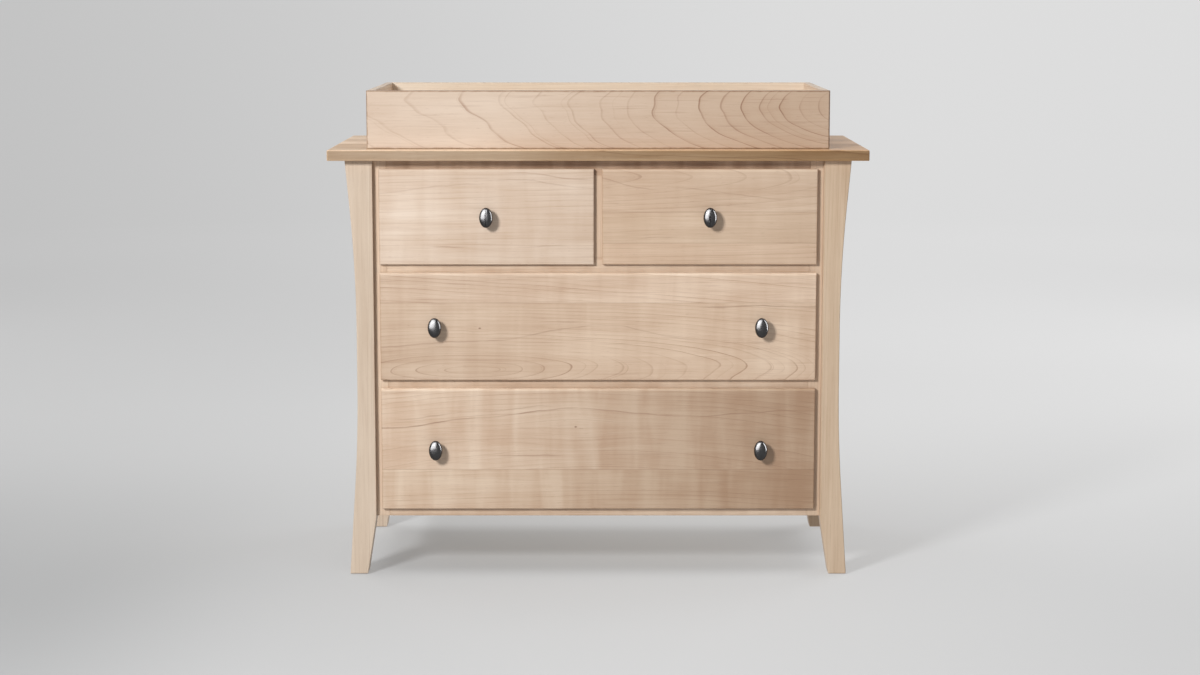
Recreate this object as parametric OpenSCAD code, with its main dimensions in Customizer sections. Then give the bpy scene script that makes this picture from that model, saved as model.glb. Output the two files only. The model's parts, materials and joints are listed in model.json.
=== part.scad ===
// Changing table: a four-drawer maple dresser on curved legs, with an open tray on its top.
// Left and right are as seen from the front, which faces -Y. All sizes are in millimetres.
// The origin is on the floor, at the middle of the width and of the whole depth.

/* [Top] */
// Width of the top
top_w = 1067; // [1020:1:1120]
// Depth of the top
top_d = 508; // [504:1:530]
// Thickness of the top
top_t = 21; // [19:1:26]
// Height of the top's upper face above the floor
top_h = 858; // [840:1:920]

/* [Legs] */
// Clear width between the legs
case_w = 893; // [860:1:920]
// Width of a leg at its waist
leg_w = 35; // [32:1:42]
// Depth of a leg
leg_d = 45; // [42:1:45]
// Setback of the legs behind the front edge of the top
leg_set = 20; // [14:1:20]
// Distance from the front of a front leg to the front of a rear leg
leg_pitch = 433; // [430:1:433]
// Height where the upper flare starts
flare_up_z = 500; // [460:5:540]
// Height over which the upper flare curves before it runs straight
flare_up_arc = 247; // [200:1:260]
// Slope of the straight part of the upper flare
flare_up_slope = 0.09; // [0.05:0.005:0.1]
// Height where the lower flare starts
flare_down_z = 385; // [340:5:420]
// Height over which the lower flare curves before it runs straight
flare_down_arc = 200; // [150:1:220]
// Slope of the straight part of the lower flare
flare_down_slope = 0.068; // [0.03:0.002:0.08]
// How far the inner edge of the foot leans out below the case
toe_out = 19; // [10:1:22]
// Part of a foot glide that shows under the leg
glide_show = 1.5; // [1:0.5:3]

/* [Face frame] */
// Thickness of the face frame
frame_t = 20; // [18:1:22]
// Width of a stile
stile_w = 26; // [24:1:30]
// How far a drawer front laps over a rail
rail_lap = 13; // [8:1:15]
// Gap between the outer end of a front and the leg
side_reveal = 12; // [8:1:16]
// Gap above the top row of fronts
top_reveal = 17.5; // [14:0.5:20]
// Gap below the bottom row of fronts
low_reveal = 15.5; // [12:0.5:20]
// Gap between two rows of fronts
row_gap = 16.5; // [12:0.5:18]
// Gap between the two top fronts
pair_gap = 16; // [10:1:20]

/* [Drawers] */
// Height of the top drawer fronts
top_front_h = 190; // [170:1:195]
// Height of the middle drawer front
middle_front_h = 216; // [190:1:220]
// Height of the bottom drawer front
bottom_front_h = 246; // [220:1:250]
// Thickness of a drawer front
front_t = 19; // [18:1:20]
// Thickness of the lip round a front, which lies outside the face frame
lip_t = 9.5; // [8:0.5:10]
// Setback of the fronts behind the front edge of the top
face_set = 22; // [18:1:24]
// Clearance between the lip of a closed front and the face frame
front_clear = 0.5; // [0.5:0.5:2]
// Thickness of the drawer sides and backs
box_t = 12; // [12:1:14]
// Thickness of the drawer bottoms
bottom_t = 6; // [5:1:8]
// Length of the drawer runners
runner_l = 406; // [350:1:406]

/* [Knobs] */
// Width of a knob
knob_w = 27; // [22:1:32]
// Height of a knob
knob_h = 40; // [32:1:44]
// How far a knob stands out of its front
knob_proj = 28; // [24:1:32]
// Distance of the knobs on the wide drawers from the middle
knob_x = 325; // [250:1:340]

/* [Tray] */
// Width of the tray
tray_w = 917; // [860:1:960]
// Height of the tray
tray_h = 115; // [90:1:130]
// Thickness of the tray's boards
tray_t = 14; // [13:1:18]
// Setback of the tray behind the front edge of the top
tray_set = 41; // [20:1:60]

/* [Hidden] */
DRAWERS = ["drawer_top_left", "drawer_top_right", "drawer_middle", "drawer_bottom"];
PIECES = ["front", "side_left", "side_right", "back", "bottom", "runners"];
$fn = 64;

// Colours
maple = [0.87, 0.74, 0.60];
maple_pale = [0.91, 0.80, 0.67];
maple_top = [0.80, 0.66, 0.50];
birch_ply = [0.86, 0.76, 0.60];
beech = [0.78, 0.60, 0.42];
dark_nickel = [0.30, 0.31, 0.33];
zinc = [0.72, 0.73, 0.75];
nylon = [0.16, 0.15, 0.14];

// Fixed sizes of the hidden joinery and hardware
panel_t = 19;        // side panels
back_t = 6;          // back panel
back_inset = 3;      // back panel in from the rear of the legs
back_rail_t = 19;
back_rail_h = 60;
packer_h = 60;
divider_drop = 22;   // centre divider below the opening it divides
dowel_r = 4;
dowel_l = 18;        // depth of a dowel in each piece
tray_dowel_l = 9;    // depth of a dowel in the face of a tray board
screw_r = 2;
head_r = 3.5;
head_t = 1.5;
top_screw_l = 45;
short_screw_l = 11;
panel_screw_l = 16;
plate_screw_l = 14;
glide_r = 10;
glide_t = 4;
plate_t = 2;         // steel plates that hold the tray
plate_w = 40;
plate_h = 64;
bolt_hole_r = 3.2;   // hole in the wall bracket
fit_gap = 0.1;       // radial clearance of a dowel or screw in its hole
runner_t = 12.7;     // space that a pair of runner members takes between case and drawer
runner_h = 45;
runner_steel = 1.2;
runner_set = 4;      // runners behind the inner face of a front
box_under = 8;       // drawer box above the rail below it
box_over = 16;       // drawer box below the rail above it
dado = 8;            // depth of a drawer side in its front
groove = 6;          // depth of a drawer bottom in the front and sides
groove_z = 10;       // drawer bottom above the lower edge of the sides
inset_gap = 1.5;     // clearance of the inset part of a front in its opening
pins = 4;            // dovetail pins at each end of a drawer back

// Places across the depth. from_front(d) is d behind the front edge of the top.
knob_over = knob_proj - face_set;
top_y = -(top_d + plate_t - knob_over) / 2;
function from_front(d) = top_y + d;
leg_front_y = from_front(leg_set);
leg_rear_y = leg_front_y + leg_pitch;
face_y = from_front(face_set);
front_back_y = face_y + front_t;
frame_y = face_y + lip_t + front_clear;
frame_back_y = frame_y + frame_t;
panel_back_y = leg_rear_y + leg_d - back_inset;
back_rail_y = panel_back_y - back_t - back_rail_t;
runner_y = front_back_y + runner_set;
box_end_y = front_back_y + runner_l;
tray_y = from_front(tray_set);
top_end_y = from_front(top_d);

// Places across the width, as distances from the middle
leg_in = case_w / 2;
open_x = leg_in - stile_w;
front_x = leg_in - side_reveal;
panel_x = leg_in + panel_t / 2;
foot_x = leg_in + toe_out + leg_w / 2;
plate_x = 300;
tray_end_x = tray_w / 2 - tray_t;

// Places up the height. Row 0 is the top row.
case_hi = top_h - top_t;
front_heights = [top_front_h, middle_front_h, bottom_front_h];
function front_hi(row) = row == 0 ? case_hi - top_reveal : front_lo(row - 1) - row_gap;
function front_lo(row) = front_hi(row) - front_heights[row];
function open_hi(row) = front_hi(row) - rail_lap;
function open_lo(row) = front_lo(row) + rail_lap;
function box_hi(row) = open_hi(row) - box_over;
function box_lo(row) = open_lo(row) + box_under;
function runner_z(row) = (box_lo(row) + box_hi(row)) / 2;
case_lo = front_lo(2) - low_reveal;
case_mid = (case_lo + case_hi) / 2;
bracket_z = case_hi - back_rail_h / 2;
plate_z = top_h - top_t / 2 - 6.5;

// Drawer 0 is the top left one, 1 the top right, 2 the middle and 3 the bottom.
function piece(d, name) = str(DRAWERS[d], "_", name);
function knob_node(d) = piece(d, d < 2 ? "knob" : "knobs");
function row_of(d) = max(d - 1, 0);
function opening(d) =
    d == 0 ? [-open_x, -stile_w / 2] :
    d == 1 ? [stile_w / 2, open_x] : [-open_x, open_x];
function front_span(d) =
    d == 0 ? [-front_x, -pair_gap / 2] :
    d == 1 ? [pair_gap / 2, front_x] : [-front_x, front_x];
function box_span(d) = opening(d) + [runner_t, -runner_t];
function inner_span(d) = box_span(d) + [box_t, -box_t];
function knob_places(d) = d < 2 ? [(front_span(d)[0] + front_span(d)[1]) / 2] : [-knob_x, knob_x];

// ---- Shapes that repeat ----

// A box given by its ranges along X, Y and Z
module block(x, y, z) {
    translate([x[0], y[0], z[0]])
        cube([x[1] - x[0], y[1] - y[0], z[1] - z[0]]);
}

// Turns +Z to an axis-aligned direction
module aim(at, dir) {
    translate(at)
        rotate([-90 * dir[1], 90 * dir[0], 0])
            children();
}

// Dowels, each given as [place, direction, depth behind the place, depth beyond it]
module dowel_set(list, gap = 0) {
    for (d = list)
        aim(d[0], d[1])
            translate([0, 0, -d[2] - gap])
                cylinder(h = d[2] + d[3] + 2 * gap, r = dowel_r + gap);
}

// A pan-head wood screw with a square drive: the face under its head is at the origin
module pan_screw(length) {
    tip = 4;
    difference() {
        rotate_extrude()
            polygon([[0, -head_t], [head_r, -head_t], [head_r, 0], [screw_r, 0],
                     [screw_r, length - tip], [0.4, length], [0, length]]);
        translate([-1.1, -1.1, -head_t - 1])
            cube([2.2, 2.2, 2]);
    }
}

// A countersunk wood screw: its flat head is at the origin
module flat_screw(length) {
    tip = 4;
    difference() {
        rotate_extrude()
            polygon([[0, 0], [head_r, 0], [screw_r, head_t], [screw_r, length - tip],
                     [0.4, length], [0, length]]);
        translate([-1.1, -1.1, -1])
            cube([2.2, 2.2, 2]);
    }
}

// Clearance holes for screws, each given as [place, direction, length]
module screw_holes(list) {
    for (s = list)
        aim(s[0], s[1])
            translate([0, 0, -0.01])
                cylinder(h = s[2] + 1, r = screw_r + fit_gap);
}

module pan_screws(list) {
    for (s = list)
        aim(s[0], s[1])
            pan_screw(s[2]);
}

// One member of a runner: a channel along Y. u is the distance from the case, side is 1 where the
// case is on the +X side and -1 where it is on the -X side.
module channel(case_x, side, y, z, web, lip, half_h, steel) {
    function across(a, b) = side > 0 ? [case_x - b, case_x - a] : [case_x + a, case_x + b];
    block(across(web, web + steel), y, [z - half_h, z + half_h]);
    for (edge = [z - half_h, z + half_h - steel])
        block(across(min(web, lip), max(web + steel, lip)), y, [edge, edge + steel]);
}

// ---- Fasteners and where they go ----

UP = [0, 0, 1];
BACK = [0, 1, 0];
FORWARD = [0, -1, 0];
RIGHT = [1, 0, 0];
frame_mid_y = frame_y + frame_t / 2;
back_rail_mid_y = back_rail_y + back_rail_t / 2;

panel_dowels = [for (s = [-1, 1]) for (y = [leg_front_y + leg_d, leg_rear_y])
    for (z = [case_lo + 60, case_mid, case_hi - 60]) [[s * panel_x, y, z], BACK, dowel_l, dowel_l]];
stile_dowels = [for (s = [-1, 1]) for (row = [0:2])
    [[s * leg_in, frame_mid_y, runner_z(row)], RIGHT, dowel_l, dowel_l]];
function rail_dowels(z) = [for (s = [-1, 1]) for (k = [0.25, 0.75])
    [[s * open_x, frame_mid_y, z[0] + k * (z[1] - z[0])], RIGHT, dowel_l, dowel_l]];
centre_dowels = [for (z = [open_lo(0), open_hi(0)]) for (x = [-7, 7])
    [[x, frame_mid_y, z], UP, dowel_l, dowel_l]];
back_rail_zs = [[case_hi - back_rail_h, case_hi], [case_lo, case_lo + back_rail_h]];
back_dowels = [for (s = [-1, 1]) for (z = back_rail_zs) for (k = [0.25, 0.75])
    [[s * leg_in, back_rail_mid_y, z[0] + k * back_rail_h], RIGHT, dowel_l, dowel_l]];
tray_dowel_zs = [top_h + tray_h * 0.25, top_h + tray_h * 0.75];
tray_front_dowels = [for (s = [-1, 1]) for (z = tray_dowel_zs)
    [[s * (tray_end_x + tray_t / 2), tray_y + tray_t, z], BACK, tray_dowel_l, dowel_l]];
tray_back_dowels = [for (s = [-1, 1]) for (z = tray_dowel_zs)
    [[s * (tray_end_x + tray_t / 2), top_end_y - tray_t, z], BACK, dowel_l, tray_dowel_l]];

top_rail_z = [open_hi(0), case_hi];
upper_rail_z = [open_hi(1), open_lo(0)];
lower_rail_z = [open_hi(2), open_lo(1)];
bottom_rail_z = [case_lo, open_lo(2)];
all_rail_dowels = concat(rail_dowels(top_rail_z), rail_dowels(upper_rail_z),
                         rail_dowels(lower_rail_z), rail_dowels(bottom_rail_z));

top_screw_xs = [-380, -130, 130, 380];
rail_screws = [for (x = top_screw_xs) [[x, frame_mid_y, open_hi(0)], UP, top_screw_l]];
back_rail_screws = [for (x = top_screw_xs) [[x, back_rail_mid_y, open_hi(0)], UP, top_screw_l]];
panel_screws = [for (x = [-400, -200, 200, 400]) for (z = back_rail_zs)
    [[x, panel_back_y, (z[0] + z[1]) / 2], FORWARD, panel_screw_l]];
bracket_screws = [for (x = [-26, 26])
    [[x, panel_back_y + plate_t, bracket_z], FORWARD, panel_screw_l]];
plate_screw_zs = [top_h - top_t / 2, top_h + 30];
plate_screws = [for (s = [-1, 1]) for (x = [-12, 12]) for (z = plate_screw_zs)
    [[s * plate_x + x, top_end_y + plate_t, z], FORWARD, plate_screw_l]];
runner_screw_ys = [for (k = [0.1, 0.5, 0.9]) runner_y + k * runner_l];

// Both runners of drawer d, each as [face of the case, side]
function runner_places(d) = [[opening(d)[0], -1], [opening(d)[1], 1]];
case_runner_screws = [for (d = [0:3]) for (r = runner_places(d)) for (y = runner_screw_ys)
    [[r[0] - r[1] * runner_steel, y, runner_z(row_of(d))], [r[1], 0, 0], short_screw_l]];
function drawer_runner_screws(d) = [for (r = runner_places(d)) for (y = runner_screw_ys)
    [[r[0] - r[1] * (runner_t - 1), y - 12, runner_z(row_of(d))], [-r[1], 0, 0], short_screw_l]];

module dowels() color(beech) {
    dowel_set(concat(panel_dowels, stile_dowels, all_rail_dowels, centre_dowels, back_dowels));
    dowel_set(concat(tray_front_dowels, tray_back_dowels));
}

module wood_screws() color(zinc) {
    pan_screws(concat(rail_screws, back_rail_screws, panel_screws, bracket_screws));
    pan_screws(case_runner_screws);
    for (s = plate_screws)
        aim(s[0], s[1])
            flat_screw(s[2]);
}

// ---- Case ----

module top() color(maple_top) difference() {
    block([-top_w / 2, top_w / 2], [top_y, top_end_y], [case_hi, top_h]);
    screw_holes(concat(rail_screws, back_rail_screws, plate_screws));
}

// Sideways reach of a flare: an arc that runs on as a straight slope
function flare(d, arc, slope) =
    d <= 0 ? 0 : d < arc ? slope * d * d / (2 * arc) : slope * (d - arc / 2);
function leg_outer(z) = leg_in + leg_w
    + flare(z - flare_up_z, flare_up_arc, flare_up_slope)
    + flare(flare_down_z - z, flare_down_arc, flare_down_slope);

// The right-hand leg seen from the front
module leg_outline() {
    steps = 48;
    outer = [for (i = [0:steps]) let (z = glide_show + i * (case_hi - glide_show) / steps)
        [leg_outer(z), z]];
    polygon(concat(outer, [[leg_in, case_hi], [leg_in, case_lo],
                           [leg_in + toe_out * (1 - glide_show / case_lo), glide_show]]));
}

module leg(side, y) color(maple) difference() {
    translate([0, y + leg_d, 0])
        rotate([90, 0, 0])
            linear_extrude(leg_d)
                mirror([side < 0 ? 1 : 0, 0])
                    leg_outline();
    dowel_set(concat(panel_dowels, y < 0 ? stile_dowels : back_dowels), fit_gap);
    translate([side * foot_x, y + leg_d / 2, -1])
        cylinder(h = glide_t + 1, r = glide_r + fit_gap);
}

module foot_glides() color(nylon) {
    for (side = [-1, 1]) for (y = [leg_front_y, leg_rear_y])
        translate([side * foot_x, y + leg_d / 2, 0])
            cylinder(h = glide_t, r = glide_r);
}

module side_panel(side) color(maple) difference() {
    block(side > 0 ? [leg_in, leg_in + panel_t] : [-leg_in - panel_t, -leg_in],
          [leg_front_y + leg_d, leg_rear_y], [case_lo, case_hi]);
    dowel_set(panel_dowels, fit_gap);
}

module stile(side) color(maple) difference() {
    block(side > 0 ? [open_x, leg_in] : [-leg_in, -open_x], [frame_y, frame_back_y], [case_lo, case_hi]);
    dowel_set(concat(stile_dowels, all_rail_dowels), fit_gap);
}

module centre_stile() color(maple) difference() {
    block([-stile_w / 2, stile_w / 2], [frame_y, frame_back_y], [open_lo(0), open_hi(0)]);
    dowel_set(centre_dowels, fit_gap);
}

module rail(z) color(maple) difference() {
    block([-open_x, open_x], [frame_y, frame_back_y], z);
    dowel_set(concat(rail_dowels(z), centre_dowels), fit_gap);
    screw_holes(rail_screws);
}

module back_rails() color(maple) difference() {
    for (z = back_rail_zs)
        block([-leg_in, leg_in], [back_rail_y, back_rail_y + back_rail_t], z);
    dowel_set(back_dowels, fit_gap);
    screw_holes(concat(back_rail_screws, panel_screws, bracket_screws));
    for (s = back_rail_screws)
        translate([s[0][0], s[0][1], case_hi - back_rail_h - 1])
            cylinder(h = s[0][2] - (case_hi - back_rail_h) + 1, r = head_r + 1.5);
}

module back_panel() color(birch_ply) difference() {
    block([-leg_in, leg_in], [panel_back_y - back_t, panel_back_y], [case_lo, case_hi]);
    screw_holes(concat(panel_screws, bracket_screws));
}

module centre_divider() color(maple) difference() {
    block([-stile_w / 2, stile_w / 2], [frame_back_y, back_rail_y], [open_lo(0) - divider_drop, case_hi]);
    screw_holes(case_runner_screws);
}

module runner_packers() color(beech) difference() {
    for (side = [-1, 1]) for (row = [0:2])
        block(side > 0 ? [open_x, leg_in] : [-leg_in, -open_x], [frame_back_y, leg_rear_y],
              [runner_z(row) - packer_h / 2, runner_z(row) + packer_h / 2]);
    screw_holes(case_runner_screws);
}

// A bridge of steel strip on the back of the case. A strap for the wall bolts to its raised middle.
module wall_bracket() color(zinc) {
    rise = 10;
    foot = [14, 36];
    difference() {
        translate([0, panel_back_y, bracket_z - 10])
            linear_extrude(20)
                polygon([[-foot[1], 0], [-foot[0], 0], [-foot[0], rise - plate_t],
                         [foot[0], rise - plate_t], [foot[0], 0], [foot[1], 0],
                         [foot[1], plate_t], [foot[0] + plate_t, plate_t],
                         [foot[0] + plate_t, rise], [-foot[0] - plate_t, rise],
                         [-foot[0] - plate_t, plate_t], [-foot[1], plate_t]]);
        aim([0, panel_back_y, bracket_z], BACK)
            cylinder(h = rise + 1, r = bolt_hole_r);
        screw_holes(bracket_screws);
    }
}

// ---- Runners ----

module cabinet_runners() color(zinc) difference() {
    for (d = [0:3]) for (r = runner_places(d))
        channel(r[0], r[1], [runner_y, runner_y + runner_l], runner_z(row_of(d)), 0, 11,
                runner_h / 2, runner_steel);
    screw_holes(case_runner_screws);
}

// The sliding middle members, which travel half as far as the drawer
module telescoping_runners(d) color(zinc) {
    for (r = runner_places(d))
        channel(r[0], r[1], [runner_y, runner_y + runner_l - 26], runner_z(row_of(d)), 3, 11,
                runner_h / 2 - 3.5, 1);
}

// The members on the drawer, with their screws
module drawer_runners(d) color(zinc) {
    difference() {
        for (r = runner_places(d))
            channel(r[0], r[1], [runner_y, runner_y + runner_l - 20], runner_z(row_of(d)),
                    runner_t - 1, 6, runner_h / 2 - 8, 1);
        screw_holes(drawer_runner_screws(d));
    }
    pan_screws(drawer_runner_screws(d));
}

// ---- Drawers ----

bottom_z = [groove_z, groove_z + bottom_t];

// Dovetail pins of drawer back d, each a wedge that narrows to the rear
module pin_set(d, x) {
    lo = box_lo(row_of(d)) + bottom_z[1];
    pitch = (box_hi(row_of(d)) - lo) / pins;
    wide = pitch * 0.42;
    narrow = wide - box_t / 3;
    for (i = [0:pins - 1])
        translate([x[0], 0, lo + (i + 0.5) * pitch])
            rotate([90, 0, 90])
                linear_extrude(x[1] - x[0])
                    polygon([[box_end_y - box_t, -wide / 2], [box_end_y, -narrow / 2],
                             [box_end_y, narrow / 2], [box_end_y - box_t, wide / 2]]);
}

module drawer_bottom_panel(d) color(birch_ply) {
    lo = box_lo(row_of(d));
    block(inner_span(d) + [-groove, groove], [front_back_y - groove, box_end_y], bottom_z + [lo, lo]);
}

// The lip laps the face frame, and the inset part behind it goes into the opening
module drawer_front(d) color(maple) {
    row = row_of(d);
    lo = box_lo(row);
    difference() {
        union() {
            block(front_span(d), [face_y, face_y + lip_t], [front_lo(row), front_hi(row)]);
            block(opening(d) + [inset_gap, -inset_gap], [face_y, front_back_y],
                  [open_lo(row) + inset_gap, open_hi(row) - inset_gap]);
        }
        for (x = [[box_span(d)[0], inner_span(d)[0]], [inner_span(d)[1], box_span(d)[1]]])
            block(x, [front_back_y - dado, front_back_y + 1], [lo, box_hi(row)]);
        block(inner_span(d), [front_back_y - groove, front_back_y + 1], bottom_z + [lo, lo]);
        for (x = knob_places(d))
            aim([x, face_y - 1, (front_lo(row) + front_hi(row)) / 2], BACK)
                cylinder(h = front_t + 2, r = screw_r + fit_gap);
    }
}

module drawer_side(d, side) color(maple_pale) {
    row = row_of(d);
    lo = box_lo(row);
    x = side > 0 ? [inner_span(d)[1], box_span(d)[1]] : [box_span(d)[0], inner_span(d)[0]];
    groove_x = side > 0 ? [x[0] - 1, x[0] + groove] : [x[1] - groove, x[1] + 1];
    difference() {
        block(x, [front_back_y - dado, box_end_y], [lo, box_hi(row)]);
        block(groove_x, [front_back_y - groove, box_end_y + 1], bottom_z + [lo, lo]);
        pin_set(d, x + [-1, 1]);
        screw_holes(drawer_runner_screws(d));
    }
}

module drawer_back(d) color(maple_pale) {
    row = row_of(d);
    block(inner_span(d), [box_end_y - box_t, box_end_y], [box_lo(row) + bottom_z[1], box_hi(row)]);
    pin_set(d, box_span(d));
}

// An egg-shaped knob on a short stem, with the machine screw that holds it
module knob(d, x) {
    row = row_of(d);
    head = 19;
    grip = 12;
    aim([x, face_y, (front_lo(row) + front_hi(row)) / 2], FORWARD) {
        difference() {
            union() {
                cylinder(h = 2.5, r = 8);
                cylinder(h = knob_proj - head / 2, r = 5);
                translate([0, 0, knob_proj - head / 2])
                    scale([knob_w / 2, knob_h / 2, head / 2])
                        sphere(1);
            }
            translate([0, 0, -1])
                cylinder(h = grip + 2, r = screw_r + fit_gap);
        }
        translate([0, 0, -front_t - 2.2])
            cylinder(h = 2.2, r = head_r + 0.5);
        translate([0, 0, -front_t - 1])
            cylinder(h = front_t + grip + 1, r = screw_r);
    }
}

module drawer_knobs(d) color(dark_nickel) {
    for (x = knob_places(d))
        knob(d, x);
}

// ---- Tray ----

tray_z = [top_h, top_h + tray_h];

module tray_front() color(maple) difference() {
    block([-tray_w / 2, tray_w / 2], [tray_y, tray_y + tray_t], tray_z);
    dowel_set(tray_front_dowels, fit_gap);
}

module tray_back() color(maple) difference() {
    block([-tray_w / 2, tray_w / 2], [top_end_y - tray_t, top_end_y], tray_z);
    dowel_set(tray_back_dowels, fit_gap);
    screw_holes(plate_screws);
}

module tray_end(side) color(maple) difference() {
    block(side > 0 ? [tray_end_x, tray_w / 2] : [-tray_w / 2, -tray_end_x],
          [tray_y + tray_t, top_end_y - tray_t], tray_z);
    dowel_set(concat(tray_front_dowels, tray_back_dowels), fit_gap);
}

// Flat steel plates that tie the back of the tray to the back edge of the top
module tray_plates() color(zinc) difference() {
    for (s = [-1, 1])
        block([s * plate_x - plate_w / 2, s * plate_x + plate_w / 2],
              [top_end_y, top_end_y + plate_t], [plate_z, plate_z + plate_h]);
    screw_holes(plate_screws);
    for (s = plate_screws)
        aim(s[0], s[1])
            cylinder(h = head_t + fit_gap, r1 = head_r + fit_gap, r2 = screw_r + fit_gap);
}

top();
leg(-1, leg_front_y);  // leg_front_left
leg(1, leg_front_y);  // leg_front_right
leg(-1, leg_rear_y);  // leg_rear_left
leg(1, leg_rear_y);  // leg_rear_right
side_panel(-1);  // side_panel_left
side_panel(1);  // side_panel_right
stile(-1);  // stile_left
stile(1);  // stile_right
centre_stile();
rail(top_rail_z);  // top_rail
rail(upper_rail_z);  // upper_rail
rail(lower_rail_z);  // lower_rail
rail(bottom_rail_z);  // bottom_rail
back_rails();
back_panel();
centre_divider();
runner_packers();
cabinet_runners();
dowels();
wood_screws();
foot_glides();
wall_bracket();
tray_front();
tray_back();
tray_end(-1);  // tray_left
tray_end(1);  // tray_right
tray_plates();
for (d = [0:3]) {
    drawer_front(d);
    drawer_side(d, -1);
    drawer_side(d, 1);
    drawer_back(d);
    drawer_bottom_panel(d);
    drawer_runners(d);
    drawer_knobs(d);
    telescoping_runners(d);
}
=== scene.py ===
"""Looks for the changing table: maple boards, plywood, steel runners and dark nickel knobs.

Everything is in metres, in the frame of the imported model: +Z up, the front faces -Y, and left and right
are as seen from the front. The CAD nodes keep their meshes. They get eased edges from modifiers, and
procedural materials. The six knobs are rebuilt as finer meshes.
"""

import json
import math

import bmesh
import bpy
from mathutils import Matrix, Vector

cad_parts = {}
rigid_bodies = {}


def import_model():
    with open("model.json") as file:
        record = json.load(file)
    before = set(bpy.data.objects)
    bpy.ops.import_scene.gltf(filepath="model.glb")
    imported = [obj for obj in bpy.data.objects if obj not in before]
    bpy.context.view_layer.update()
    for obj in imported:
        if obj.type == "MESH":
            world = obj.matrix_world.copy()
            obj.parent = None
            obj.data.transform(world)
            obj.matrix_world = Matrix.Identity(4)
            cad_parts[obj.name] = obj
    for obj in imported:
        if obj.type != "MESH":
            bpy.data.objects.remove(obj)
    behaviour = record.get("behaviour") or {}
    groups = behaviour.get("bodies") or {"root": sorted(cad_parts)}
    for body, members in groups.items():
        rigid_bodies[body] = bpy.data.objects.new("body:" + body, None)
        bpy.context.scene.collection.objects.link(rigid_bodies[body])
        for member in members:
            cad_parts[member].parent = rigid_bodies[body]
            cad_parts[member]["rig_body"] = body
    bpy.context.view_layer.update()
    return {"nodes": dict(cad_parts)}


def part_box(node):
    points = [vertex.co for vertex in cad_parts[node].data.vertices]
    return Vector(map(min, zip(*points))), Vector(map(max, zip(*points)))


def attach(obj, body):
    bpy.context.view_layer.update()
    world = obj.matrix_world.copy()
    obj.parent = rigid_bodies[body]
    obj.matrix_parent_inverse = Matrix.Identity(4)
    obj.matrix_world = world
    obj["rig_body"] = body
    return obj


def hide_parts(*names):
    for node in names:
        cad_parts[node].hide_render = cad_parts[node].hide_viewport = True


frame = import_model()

nodes = frame["nodes"]
body_of = {name: piece["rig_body"] for name, piece in nodes.items()}

DRAWERS = ["drawer_top_left", "drawer_top_right", "drawer_middle", "drawer_bottom"]
MM = 0.001


# ---- Node trees ----

def linear(red, green, blue):
    """A colour given as it looks on a screen, 0 to 255, as the linear colour that a shader takes."""
    def channel(c):
        c /= 255
        return c / 12.92 if c <= 0.04045 else ((c + 0.055) / 1.055) ** 2.4
    return (channel(red), channel(green), channel(blue), 1)


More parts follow.
